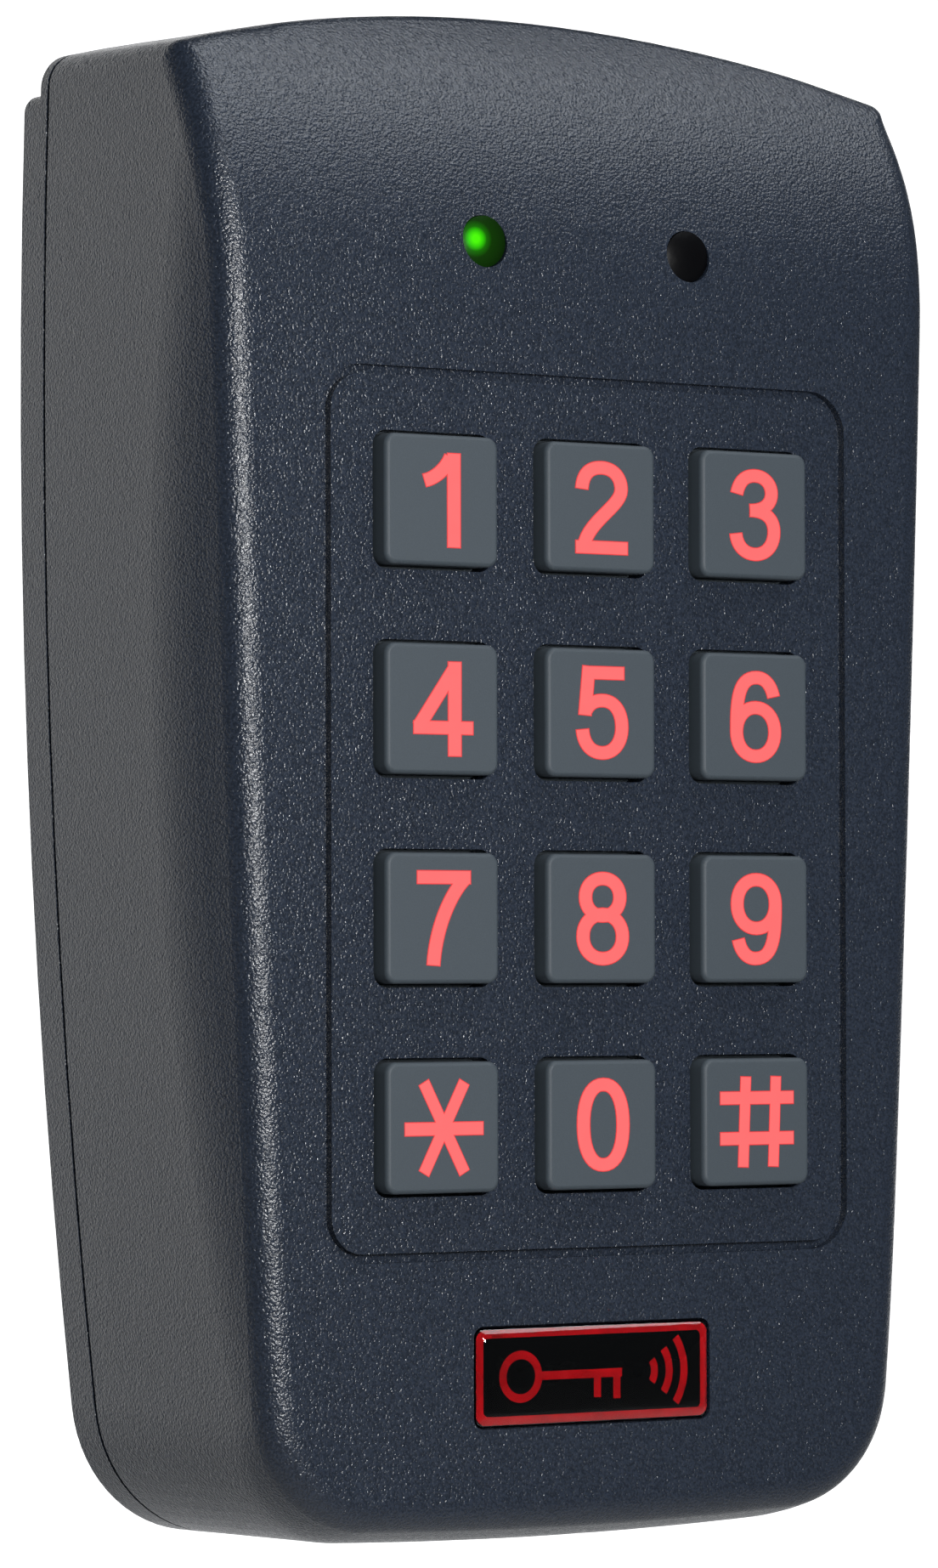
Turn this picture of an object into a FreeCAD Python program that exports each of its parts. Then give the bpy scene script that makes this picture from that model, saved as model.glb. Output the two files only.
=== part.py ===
"""Keypad access reader: a wall unit with twelve sprung keys, two status LEDs and a badge.

Frame: +Z up, the front faces -Y, +X is to the right seen from the front. The wall face lies in
Y = 0 and the origin is midway between the two wall screws. Depths are measured from the flat
front panel, in the plane Y = -depth, towards the wall.
"""
import FreeCAD, Part
import math
import os
import re
from FreeCAD import Placement, Rotation, Vector
from Sketcher import Constraint

DIMENSIONS = {
    # housing outline, seen from the front: big arcs joined by tangent corners
    "depth": 33.2, "draft": 0.0227,
    "side_radius": 820, "side_centre_z": 36, "half_width": 41.95,
    "bottom_radius": 522, "bottom_z": -71.8, "bottom_corner": 13.8,
    "arch_radius": 153, "arch_draft": 0.047, "top_z": 72.6,
    "top_corner": 3.6, "panel_corner": 1.6, "least_corner": 0.4,
    # shoulder: the sides and the bottom turn in towards the panel
    "shoulder_radius": 4000, "shoulder_centre_z": 166, "shoulder_half_width": 41.52,
    "shoulder_bottom_radius": 519.4, "shoulder_bottom_z": -69.2, "shoulder_corner": 11.8,
    "shoulder_rate": 0.31, "crease_radius": 21.5,
    # the panel leans back above lean_start_z
    "lean_radius": 40, "lean_start_z": 43, "edge_radius_side": 3, "edge_radius_top": 1.7,
    "edge_change": 20,
    "overrun": 6, "open_top_z": 80, "wide": 100,
    # shells: the joint line is a shadow gap between the covers
    "wall": 2.4, "parting": 29.2, "flange": 1.15, "pan_drop": 3.4, "pan_corner": 1.8, "pan_floor": 1.8,
    "lip_gap": 0.15, "lip_wall": 1.3, "lip_reach": 3, "joint_line": 0.4, "joint_line_deep": 0.55,
    "seal_inset": 0.8, "seal_width": 1, "seal_thick": 0.8, "seal_slack": 0.05,
    "catch_x": 20, "catch_width": 9, "catch_deep": 2.8, "catch_height": 4, "catch_play": 0.5,
    # keypad
    "keypad_z": -4, "pitch_x": 17.7, "pitch_z": 19.05,
    "key_width": 12.37, "key_height": 11.94, "key_rise": 1.73, "key_corner": 1.1, "key_edge": 0.55,
    "key_gap": 0.35, "key_top": 1.4, "key_hollow_wall": 1.25, "key_hollow_corner": 0.6, "key_stem": 2.1,
    "key_foot": 5, "key_ledge": 1.3, "key_ledge_depth": 2.55, "key_ledge_thick": 1,
    "groove_width": 59.2, "groove_height": 81.6, "groove_corner": 4.2, "groove_cut": 0.85,
    "groove_depth": 0.9,
    # silicone mat under the keys
    "mat_width": 58, "mat_height": 80, "mat_corner": 3, "mat_depth": 7.6, "mat_thick": 1,
    "dome_top": 3, "dome_base": 5.4, "dome_depth": 5.05, "dome_wall": 0.6, "dome_roof": 1.6,
    "pill_radius": 2, "pill_thick": 0.7,
    # status LEDs
    "led_x": 11.55, "led_z": 48.85, "led_hole": 2.45, "led_body": 2.38, "led_rim": 2.9,
    "led_rim_thick": 1, "led_tip": 0.2, "led_crown": 0.9,
    # badge under the keypad
    "badge_width": 26.7, "badge_height": 9.45, "badge_corner": 1.1, "badge_z": -55.6,
    "badge_pocket": 0.7, "badge_gap": 0.12, "label_thick": 0.4, "resin_inset": 0.06, "resin_thick": 0.95,
    "resin_edge": 0.55,
    # circuit board and its screws
    "board_width": 62, "board_height": 112, "board_corner": 6, "board_z": 1, "board_depth": 8.6,
    "board_thick": 1.6, "boss_radius": 2.75, "boss_pilot": 1, "boss_x": 28, "boss_top_z": 43,
    "boss_bottom_z": -48, "screw_hole": 1.5, "screw_head": 2.3, "screw_head_thick": 1.6,
    "screw_shank": 0.95, "screw_length": 6.6, "screw_slot": 0.7,
    # parts on the board
    "backlight_width": 3.2, "backlight_height": 1.6, "backlight_thick": 1.1, "light_play": 0.25,
    "controller_size": 10, "controller_thick": 1.5, "controller_x": -10, "controller_z": 18,
    "reader_width": 7.5, "reader_height": 10.2, "reader_thick": 2.2, "reader_x": 12, "reader_z": 16,
    "coil_width": 56, "coil_height": 44, "coil_corner": 6, "coil_band": 3, "coil_thick": 2.5,
    "coil_z": 14,
    "leg_thick": 0.3, "leg_width": 0.5, "leg_reach": 1, "chip_lift": 0.15,
    "capacitor_radius": 4, "capacitor_length": 11, "capacitor_x": 20, "power_z": -25, "corner_z": -42,
    "regulator_width": 6.5, "regulator_height": 6, "regulator_thick": 2.3,
    "tab_width": 5.4, "tab_height": 9, "tab_thick": 0.6,
    "buzzer_radius": 6, "buzzer_length": 8.5, "buzzer_x": -19, "buzzer_hole": 1.2,
    "buzzer_hole_deep": 1.5,
    "diode_pitch": 4, "diode_width": 2.6, "diode_height": 4.4, "diode_thick": 2.2, "diode_z": -44,
    "crystal_width": 11, "crystal_height": 4.6, "crystal_thick": 3.4, "crystal_x": -12, "crystal_z": 1,
    "crystal_corner": 2, "sensor_width": 4.4, "sensor_height": 5.6, "sensor_thick": 5, "sensor_z": 50,
    "terminal_pitch": 3.5, "terminal_height": 7.4, "terminal_thick": 8.6, "terminal_radius": 1.3,
    "terminal_deep": 2.6, "terminal_slot": 0.45, "wire_port": 2.4, "wire_port_height": 3,
    # wall fixing and cable outlet
    "wall_screw_pitch": 83.3, "wall_hole": 2.25, "wall_boss": 4.5, "wall_boss_thick": 1,
    "outlet_z": -8, "outlet_radius": 8, "grommet_lip": 1.6, "grommet_bore": 5.5, "grommet_face": 1,
    # security screw through the bottom of the front cover into a brass insert
    "lug_width": 10, "lug_height": 8, "lug_front": 17.5, "case_screw_depth": 22.3,
    "case_hole": 1.7, "case_head": 2.7, "case_head_thick": 1.6, "case_shank": 1.45, "case_socket": 1.1,
    "case_screw_length": 8, "case_screw_sink": 0.6, "case_pad_thick": 1.6,
    "insert_radius": 2.2, "insert_length": 5, "insert_play": 0.3,
    # tools that cut run past the surface they cut by this much
    "past": 1,
}

COLUMNS = (-1, 0, 1)
KEY_ROWS = (("key_1", "key_2", "key_3"), ("key_4", "key_5", "key_6"),
            ("key_7", "key_8", "key_9"), ("key_star", "key_0", "key_hash"))
Y_AXIS = Rotation(Vector(1, 0, 0), -90)
FRONT_VIEW = Rotation(Vector(1, 0, 0), 90)

doc = FreeCAD.newDocument("keypad_access_reader")
sheet = doc.addObject("Spreadsheet::Sheet", "dims")
for row, (alias, value) in enumerate(DIMENSIONS.items(), start=1):
    sheet.set(f"A{row}", alias)
    sheet.set(f"B{row}", str(value))
    sheet.setAlias(f"B{row}", alias)
doc.recompute()


def bound(expression):
    """The expression with every dimension's name pointed at the sheet."""
    return re.sub(r"[a-z_]+", lambda m: "dims." + m[0] if m[0] in DIMENSIONS else m[0], str(expression))


def number(expression):
    """The expression's value now, for first guesses and edge picking."""
    return float(sheet.evalExpression(bound(expression)))


def at_depth(depth):
    return f"{depth} - depth"


def bind(obj, **expressions):
    for prop, expression in expressions.items():
        obj.setExpression(prop, bound(expression))
    return obj


def place(obj, x=0, y=0, z=0, rotation=Rotation()):
    obj.Placement = Placement(Vector(number(x), number(y), number(z)), rotation)
    for axis, expression in (("x", x), ("y", y), ("z", z)):
        obj.setExpression("Placement.Base." + axis, bound(expression))
    return obj


def add(kind, name):
    return doc.addObject("Part::" + kind, name)


# ---------------------------------------------------------------- primitives
def box(name, size, x=0, y=0, z=0):
    """A block centred on x and z, with its front at depth y."""
    width, thick, height = size
    obj = bind(add("Box", name), Length=width, Width=thick, Height=height)
    return place(obj, f"({x}) - ({width})/2", at_depth(y), f"({z}) - ({height})/2")


def rod(name, radius, length, x=0, y=0, z=0):
    """A cylinder along Y, with its front at depth y."""
    obj = bind(add("Cylinder", name), Radius=radius, Height=length)
    return place(obj, x, at_depth(y), z, Y_AXIS)


def post(name, radius, length, x=0, y=0, z=0):
    """A cylinder along Z, standing on z."""
    obj = bind(add("Cylinder", name), Radius=radius, Height=length)
    return place(obj, x, at_depth(y), z)


def cone(name, front_radius, back_radius, length, x=0, y=0, z=0):
    obj = bind(add("Cone", name), Radius1=front_radius, Radius2=back_radius, Height=length)
    return place(obj, x, at_depth(y), z, Y_AXIS)


def cut(name, base, *tools):
    obj = add("Cut", name)
    obj.Base = base
    obj.Tool = tools[0] if len(tools) == 1 else fuse(name + "_tools", *tools)
    return obj


def fuse(name, *shapes):
    obj = add("MultiFuse", name)
    obj.Shapes = list(shapes)
    return obj


def common(name, *shapes):
    obj = add("MultiCommon", name)
    obj.Shapes = list(shapes)
    return obj


def group(name, *shapes):
    obj = add("Compound", name)
    obj.Links = list(shapes)
    return obj


def fillet(name, base, picked, radius):
    """Rounds the edges that picked accepts; radius is a number or a function of the edge's end."""
    doc.recompute()
    size = radius if callable(radius) else lambda end: radius
    obj = add("Fillet", name)
    obj.Base = base
    edges = []
    for index, edge in enumerate(base.Shape.Edges, start=1):
        if picked(edge):
            ends = [edge.valueAt(p) for p in (edge.FirstParameter, edge.LastParameter)]
            edges.append((index, size(ends[0]), size(ends[1])))
    obj.Edges = edges
    return obj


def middle(edge):
    return edge.valueAt((edge.FirstParameter + edge.LastParameter) / 2)


def direction(edge):
    return edge.tangentAt((edge.FirstParameter + edge.LastParameter) / 2)


# ---------------------------------------------------------------- rounded plates
def plate(name, width, height, corner, thick, x=0, y=0, z=0):
    """A rounded rectangle seen from the front, extruded towards the wall."""
    w, h, r = number(width) / 2, number(height) / 2, number(corner)
    sketch = doc.addObject("Sketcher::SketchObject", name + "_outline")
    normal = Vector(0, 0, 1)
    rim = ((-w + r, -h, w - r, -h), (w, -h + r, w, h - r), (w - r, h, -w + r, h), (-w, h - r, -w, -h + r))
    corners = ((w - r, -h + r), (w - r, h - r), (-w + r, h - r), (-w + r, -h + r))
    for turn, (x0, z0, x1, z1) in enumerate(rim):
        sketch.addGeometry(Part.LineSegment(Vector(x0, z0, 0), Vector(x1, z1, 0)))
        circle = Part.Circle(Vector(*corners[turn], 0), normal, r)
        start = (turn - 1) * math.pi / 2
        sketch.addGeometry(Part.ArcOfCircle(circle, start, start + math.pi / 2))
    for side in range(8):
        sketch.addConstraint(Constraint("Tangent", side, 2, (side + 1) % 8, 1))
    for line, rule in ((0, "Horizontal"), (2, "Vertical"), (4, "Horizontal"), (6, "Vertical")):
        sketch.addConstraint(Constraint(rule, line))
    for arc in (3, 5):
        sketch.addConstraint(Constraint("Equal", 1, arc))
    sketch.addConstraint(Constraint("Symmetric", 0, 1, 4, 1, -1, 1))
    for kind, refs, expression in (("DistanceX", (6, 1, 2, 1), width),
                                   ("DistanceY", (0, 1, 4, 1), height),
                                   ("Radius", (1,), corner)):
        index = sketch.addConstraint(Constraint(kind, *refs, number(expression)))
        sketch.setExpression(f"Constraints[{index}]", bound(expression))
    place(sketch, x, at_depth(y), z, FRONT_VIEW)
    return extrude(name, sketch, thick, Vector(0, 1, 0))


def extrude(name, profile, length, along):
    obj = add("Extrusion", name)
    obj.Base = profile
    obj.DirMode = "Custom"
    obj.Dir = along
    obj.Solid = True
    return bind(obj, LengthFwd=length)


# ---------------------------------------------------------------- housing outline
WALL_LINE = dict(side="side_radius", centre="side_centre_z", half="half_width", foot="bottom_radius",
                 base="bottom_z", corner="bottom_corner")
SHOULDER_LINE = dict(side="shoulder_radius", centre="shoulder_centre_z", half="shoulder_half_width",
                     foot="shoulder_bottom_radius", base="shoulder_bottom_z", corner="shoulder_corner")


def toward(start, end, length):
    """The point that lies length beyond start on the way to end."""
    step = end - start
    return start + step * (length / step.Length)


def outline(name, line, inset, depth):
    """Sides, bottom corners and bottom as tangent arcs, open at the top up to open_top_z.

    An inset shortens every radius and leaves every centre where it is."""
    side = number(f"{line['side']} - ({inset})")
    foot = number(f"{line['foot']} - ({inset})")
    corner = number(f"{line['corner']} - ({inset})")
    side_at = Vector(number(f"{line['half']} - {line['side']}"), number(line["centre"]), 0)
    foot_at = Vector(0, number(f"{line['base']} + {line['foot']}"), 0)
    top = number("open_top_z")
    # the corner's centre is at known distances from the other two centres
    gap = (foot_at - side_at).Length
    along = ((side - corner) ** 2 - (foot - corner) ** 2 + gap ** 2) / (2 * gap)
    off = math.sqrt((side - corner) ** 2 - along ** 2)
    forward = (foot_at - side_at) * (1 / gap)
    corner_at = side_at + forward * along + Vector(forward.y, -forward.x, 0) * off
    low = toward(side_at, corner_at, side)
    turn = toward(foot_at, corner_at, foot)
    high = Vector(side_at.x + math.sqrt(side ** 2 - (top - side_at.y) ** 2), top, 0)

    def mirrored(point):
        return Vector(-point.x, point.y, 0)

    def arc(centre, radius, start, end):
        angles = [math.atan2(p.y - centre.y, p.x - centre.x) for p in (start, end)]
        return Part.ArcOfCircle(Part.Circle(centre, Vector(0, 0, 1), radius), *angles)

    sketch = doc.addObject("Sketcher::SketchObject", name)
    sketch.addGeometry(arc(side_at, side, low, high))
    sketch.addGeometry(arc(corner_at, corner, turn, low))
    sketch.addGeometry(arc(foot_at, foot, mirrored(turn), turn))
    sketch.addGeometry(arc(mirrored(corner_at), corner, mirrored(low), mirrored(turn)))
    sketch.addGeometry(arc(mirrored(side_at), side, mirrored(high), mirrored(low)))
    sketch.addGeometry(Part.LineSegment(high, mirrored(high)))
    for first, second in ((0, 1), (1, 2), (2, 3), (3, 4)):
        sketch.addConstraint(Constraint("Tangent", first, 1, second, 2))
    sketch.addConstraint(Constraint("Coincident", 0, 2, 5, 1))
    sketch.addConstraint(Constraint("Coincident", 4, 1, 5, 2))
    sketch.addConstraint(Constraint("Horizontal", 5))
    reach = f"{line['half']} - {line['side']}"
    sizes = (("Radius", (0,), f"{line['side']} - ({inset})"),
             ("Radius", (4,), f"{line['side']} - ({inset})"),
             ("Radius", (1,), f"{line['corner']} - ({inset})"),
             ("Radius", (3,), f"{line['corner']} - ({inset})"),
             ("Radius", (2,), f"{line['foot']} - ({inset})"),
             ("DistanceX", (0, 3), reach), ("DistanceX", (4, 3), f"-({reach})"),
             ("DistanceY", (0, 3), line["centre"]), ("DistanceY", (4, 3), line["centre"]),
             ("DistanceY", (2, 3), f"{line['base']} + {line['foot']}"), ("DistanceX", (2, 3), "0"),
             ("DistanceY", (5, 1), "open_top_z"))
    for kind, refs, expression in sizes:
        index = sketch.addConstraint(Constraint(kind, *refs, number(expression)))
        sketch.setExpression(f"Constraints[{index}]", bound(expression))
    return place(sketch, 0, at_depth(depth), 0, FRONT_VIEW)


def drafted(name, line, inset_front, inset_back):
    """The outline lofted from in front of the panel to the wall face."""
    loft = add("Loft", name)
    loft.Sections = [outline(name + "_front", line, inset_front, "-overrun"),
                     outline(name + "_back", line, inset_back, "depth")]
    loft.Solid = True
    loft.Ruled = True
    return loft


def wall_block(name, inset):
    return drafted(name, WALL_LINE, f"{inset} + draft * (depth + overrun)", inset)


def shoulder_block(name, inset):
    front, back = f"{inset} + shoulder_rate * overrun", f"{inset} - shoulder_rate * depth"
    return drafted(name, SHOULDER_LINE, front, back)


def arch_block(name, inset, drop="0"):
    """A drafted disc whose rim is the arched top."""
    back = f"arch_radius - ({inset})"
    front, centre = f"{back} - arch_draft * depth", f"top_z - ({drop}) - arch_radius"
    return cone(name, front, back, "depth", 0, "0", centre)


def lean_block(name, inset):
    """The panel's side view, flat and then leaning back, as wide as the outline and more."""
    radius = number(f"lean_radius - ({inset})")
    front, back = number(f"({inset}) - depth"), 0.0
    start, top, bottom = number("lean_start_z"), number("open_top_z"), -number("open_top_z")
    swing = math.asin((top - start) / radius) if top - start < radius else math.pi / 2
    centre = Vector(front + radius, start, 0)
    end = Vector(centre.x - radius * math.cos(swing), start + radius * math.sin(swing), 0)
    sketch = doc.addObject("Sketcher::SketchObject", name + "_profile")
    circle = Part.Circle(centre, Vector(0, 0, 1), radius)
    sketch.addGeometry(Part.ArcOfCircle(circle, math.pi - swing, math.pi))
    points = [Vector(front, start, 0), Vector(front, bottom, 0), Vector(back, bottom, 0),
              Vector(back, end.y, 0), end]
    for first, second in zip(points, points[1:]):
        sketch.addGeometry(Part.LineSegment(first, second))
    for first, second in ((0, 1), (1, 2), (2, 3), (3, 4)):
        sketch.addConstraint(Constraint("Coincident", first, 2, second, 1))
    sketch.addConstraint(Constraint("Coincident", 4, 2, 0, 1))
    for rule, item in (("Vertical", 1), ("Horizontal", 2), ("Vertical", 3), ("Horizontal", 4)):
        sketch.addConstraint(Constraint(rule, item))
    for kind, refs, expression in (("Radius", (0,), f"lean_radius - ({inset})"),
                                   ("DistanceX", (0, 3), "lean_radius - depth"),
                                   ("DistanceY", (0, 3), "lean_start_z"),
                                   ("DistanceY", (1, 1), "lean_start_z"),
                                   ("DistanceY", (1, 2), "-open_top_z"),
                                   ("DistanceX", (3, 1), "0"), ("DistanceY", (3, 2), str(end.y))):
        index = sketch.addConstraint(Constraint(kind, *refs, number(expression)))
        sketch.setExpression(f"Constraints[{index}]", bound(expression))
    place(sketch, "-wide/2", 0, 0, Rotation(Vector(1, 1, 1), 120))
    return extrude(name, sketch, "wide", Vector(1, 0, 0))


def side_crease(edge):
    """The line where the wall meets the shoulder."""
    point = middle(edge)
    inside = number("0.5 - depth - overrun") < point.y < -1
    return inside and abs(direction(edge).y) < 0.5 and point.z < number("open_top_z") - 1


def top_corner(edge):
    point = middle(edge)
    high = point.z > number("top_z") / 2 and abs(point.x) > number("half_width") / 2
    return high and abs(direction(edge).y) > 0.9


def corner_radius(end):
    """The top corners are tight at the panel and wider at the wall."""
    share = min(max(1 + end.y / number("depth"), 0), 1)
    return number("panel_corner") + share * number("top_corner - panel_corner")


def front_rim(shape):
    """Tells whether an edge is on the rim of the panel's two big front faces."""
    shared = {}
    for face in shape.Faces:
        u0, u1, v0, v1 = face.ParameterRange
        normal = face.normalAt((u0 + u1) / 2, (v0 + v1) / 2)
        if abs(normal.x) < 0.02 and normal.y < -0.75 and face.Area > 500:
            for edge in face.Edges:
                shared[edge.hashCode()] = shared.get(edge.hashCode(), 0) + 1
    return lambda edge: shared.get(edge.hashCode()) == 1


def rim_radius(end):
    """The rim is tighter on the leaning top than on the sides."""
    share = min(max((end.z - number("lean_start_z")) / number("edge_change"), 0), 1)
    return number("edge_radius_side") + share * number("edge_radius_top - edge_radius_side")


def housing():
    """The closed outer form that both covers are cut from."""
    turned = common("turned_block", wall_block("outer_wall", "0"), shoulder_block("outer_shoulder", "0"))
    soft = fillet("soft_shoulder", turned, side_crease, number("crease_radius"))
    leaning = common("leaning_block", soft, lean_block("outer_lean", "0"), arch_block("outer_arch", "0"))
    cornered = fillet("cornered_block", leaning, top_corner, corner_radius)
    doc.recompute()
    return fillet("outer_form", cornered, front_rim(cornered.Shape), rim_radius)


def slab(name, base, start, end):
    """The part of a block between two depths."""
    return common(name, base, box(name + "_range", ("wide", f"{end} - ({start})", "2*open_top_z"), 0,
                                  start, 0))


def rounded_block(name, inset, corner="top_corner", drop="0"):
    """The wall block under its arch, with rounded top corners."""
    walls = wall_block(name + "_wall", inset)
    square = common(name + "_square", walls, arch_block(name + "_arch", inset, drop))
    return fillet(name, square, top_corner, max(number(f"{corner} - ({inset})"), number("least_corner")))


def ring(name, inset, width, start, end):
    """A band that follows the outline, from inset to inset + width."""
    outer = rounded_block(name + "_outer", inset)
    inner = rounded_block(name + "_inner", f"{inset} + {width}")
    return slab(name, cut(name + "_band", outer, inner), start, end)


# ---------------------------------------------------------------- covers
def key_places():
    """Name, x and z of each key, from the top row down."""
    for row, names in enumerate(KEY_ROWS):
        for column, name in zip(COLUMNS, names):
            yield name, f"{column} * pitch_x", f"keypad_z + {1.5 - row} * pitch_z"


def board_fixings():
    for side in (-1, 1):
        yield f"{side} * boss_x", "boss_top_z"
        yield f"{side} * boss_x", "boss_bottom_z"


def cavity():
    """The inside of the front cover, one wall in from its outer form."""
    sides = (wall_block("cavity_wall", "wall"), shoulder_block("cavity_shoulder", "wall"))
    return common("cavity", *sides, lean_block("cavity_lean", "wall"), arch_block("cavity_arch", "wall"))


def catches():
    """Side of each catch that holds the covers together at the top."""
    return [f"{side} * catch_x" for side in (-1, 1)]


def keypad_groove():
    """The engraved line round the keypad."""
    outer = plate("groove_outer", "groove_width", "groove_height", "groove_corner", "groove_depth + past",
                  0, "-past", "keypad_z")
    inner = plate("groove_inner", "groove_width - 2*groove_cut", "groove_height - 2*groove_cut",
                  "groove_corner - groove_cut", "groove_depth + 3*past", 0, "-2*past", "keypad_z")
    return cut("groove", outer, inner)


def windows():
    """One opening in the panel for each key."""
    wide, high = "key_width + 2*key_gap", "key_height + 2*key_gap"
    return [plate(f"{name}_window", wide, high, "key_corner + key_gap", "wall + 2*past", x, "-past", z)
            for name, x, z in key_places()]


def case_screw_way():
    """Hole and sunk seat for the security screw."""
    low = "bottom_z - 2*past"
    hole = post("case_screw_hole", "case_hole", 12, 0, "case_screw_depth", low)
    seat = post("case_head_recess", "case_head + 0.2", "case_screw_sink + case_head_thick + 2*past", 0,
                "case_screw_depth", low)
    return [hole, seat]


def front_cover(form):
    hollow = cut("front_shell", slab("front_solid", form, "-past", "parting"), cavity())
    bosses = [rod(f"boss_{i}", "boss_radius", "board_depth - wall/2", x, "wall/2", z)
              for i, (x, z) in enumerate(board_fixings())]
    pad_size = ("lug_width + 3", "parting - lip_reach - 0.2 - lug_front", "case_pad_thick + wall/2")
    pad = box("case_pad", pad_size, 0, "lug_front", "bottom_z + wall*3/4 + case_pad_thick/2")
    body = fuse("front_with_bosses", hollow, *bosses, pad)
    tools = windows() + case_screw_way()
    tools.append(keypad_groove())
    tools.append(plate("badge_recess", "badge_width", "badge_height", "badge_corner",
                       "badge_pocket + past", 0, "-past", "badge_z"))
    tools.append(ring("joint_line_cut", "-past", "joint_line_deep + past", "parting - joint_line",
                      "parting + past"))
    tools.append(ring("seal_groove", "seal_inset", "seal_width", "parting - seal_thick",
                      "parting + past"))
    tools += [rod(f"led_hole_{i}", "led_hole", "wall + 4*past", f"{side} * led_x", "-past", "led_z")
              for i, side in enumerate((-1, 1))]
    tools += [rod(f"pilot_{i}", "boss_pilot", "board_depth - wall", x, "wall + 0.2", z)
              for i, (x, z) in enumerate(board_fixings())]
    tools += [box(f"catch_{i}", ("catch_width", "catch_deep", "catch_height"), x,
                  "parting - catch_deep - 1.4",
                  "top_z - catch_height - 0.6") for i, x in enumerate(catches())]
    return cut("front_cover", body, *tools)


def rear_tray(form):
    """Flange with the full outline, and the pan behind it, whose top is lower."""
    flange = slab("rear_flange", form, "parting", "parting + flange")
    pan_form = rounded_block("pan_form", "0", "pan_corner", "pan_drop")
    pan = slab("rear_pan", pan_form, "parting + flange", "depth")
    scoop_form = rounded_block("scoop_form", "wall", "pan_corner", "pan_drop")
    scoop = slab("pan_scoop", scoop_form, "parting - past", "depth - pan_floor")
    return cut("rear_tray", fuse("rear_block", flange, pan), scoop)


def rear_cover(form):
    lip = ring("rear_lip", "wall + lip_gap", "lip_wall", "parting - lip_reach", "parting + flange")
    floor = "depth - pan_floor"
    screws = [f"{side} * wall_screw_pitch / 2" for side in (-1, 1)]
    bosses = [rod(f"wall_boss_{i}", "wall_boss", "wall_boss_thick + pan_floor/2", 0,
                  f"{floor} - wall_boss_thick", z)
              for i, z in enumerate(screws)]
    lug = box("screw_lug", ("lug_width", f"{floor} - lug_front + pan_floor/2", "lug_height"), 0,
              "lug_front", "bottom_z + wall + case_pad_thick + 0.2 + lug_height/2")
    tabs = [box(f"tab_{i}", ("catch_width - 2*catch_play", "catch_deep - 2*catch_play",
                             "catch_height - catch_play"), x, "parting - catch_deep - 1.4 + catch_play",
                "top_z - catch_height - 1.4") for i, x in enumerate(catches())]
    body = fuse("rear_solid", rear_tray(form), lip, *bosses, lug, *tabs)
    tools = [rod(f"wall_hole_{i}", "wall_hole", "pan_floor + 4*past", 0, f"{floor} - 2*past", z)
             for i, z in enumerate(screws)]
    tools.append(rod("outlet", "outlet_radius", "pan_floor + 4*past", 0, f"{floor} - 2*past", "outlet_z"))
    tools.append(post("insert_hole", "insert_radius", "insert_length + insert_play + 1.3", 0,
                      "case_screw_depth", "bottom_z + wall + case_pad_thick"))
    return cut("rear_cover", body, *tools)


# ---------------------------------------------------------------- keypad
def key(name, x, z):
    """Hollow cap with a retaining ledge behind the panel and a stem on the mat's dome."""
    cap = plate(name + "_cap", "key_width", "key_height", "key_corner",
                "key_rise + key_ledge_depth + 0.5", x, "-key_rise", z)
    front = -number("key_rise") - number("depth")
    soft = fillet(name + "_soft_cap", cap, lambda e: abs(middle(e).y - front) < 0.01, number("key_edge"))
    ledge = plate(name + "_ledge", "key_width + 2*key_ledge", "key_height + 2*key_ledge",
                  "key_corner + 0.5", "key_ledge_thick", x, "key_ledge_depth", z)
    hollow = plate(name + "_hollow", "key_width - 2*key_hollow_wall", "key_height - 2*key_hollow_wall",
                   "key_hollow_corner", "key_ledge_depth + key_ledge_thick + key_rise", x,
                   "key_top - key_rise", z)
    stem = rod(name + "_stem", "key_stem", "key_foot - key_top + key_rise + 0.3", x,
               "key_top - key_rise - 0.3", z)
    return fuse(name, cut(name + "_shell", fuse(name + "_block", soft, ledge), hollow), stem)


def keypad_mat():
    """One silicone sheet with a domed button under each key and slots for the backlights."""
    web = plate("mat_web", "mat_width", "mat_height", "mat_corner", "mat_thick", 0, "mat_depth",
                "keypad_z")
    rise = "mat_depth - dome_depth + 0.2"
    domes = [cone(f"dome_{i}", "dome_top", "dome_base", rise, x, "dome_depth", z)
             for i, (_, x, z) in enumerate(key_places())]
    pits = [cone(f"pit_{i}", "dome_top - dome_wall", "dome_base",
                 "board_depth - dome_depth - dome_roof + 0.01", x,
                 "dome_depth + dome_roof", z) for i, (_, x, z) in enumerate(key_places())]
    slot = ("backlight_width + 2*light_play", "mat_thick + 2*past", "backlight_height + 2*light_play")
    slots = [box(f"light_slot_{i}", slot, x, "mat_depth - past", z)
             for i, (x, z) in enumerate(backlights())]
    return cut("keypad_mat", fuse("mat_with_domes", web, *domes), *pits, *slots)


def contact_pills():
    return group("contact_pills", *[rod(f"pill_{i}", "pill_radius", "pill_thick", x,
                                        "dome_depth + dome_roof", z)
                                    for i, (_, x, z) in enumerate(key_places())])


# ---------------------------------------------------------------- electronics
REAR = "board_depth + board_thick"
CHIP_LEGS = 8


def backlights():
    """Places of the backlight LEDs, between the key columns."""
    for row in range(4):
        for side in (-0.5, 0.5):
            yield f"{side} * pitch_x", f"keypad_z + {1.5 - row} * pitch_z"


def backlight_leds():
    size = ("backlight_width", "backlight_thick", "backlight_height")
    return group("backlight_leds", *[box(f"backlight_{i}", size, x, "board_depth - backlight_thick", z)
                                     for i, (x, z) in enumerate(backlights())])


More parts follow.
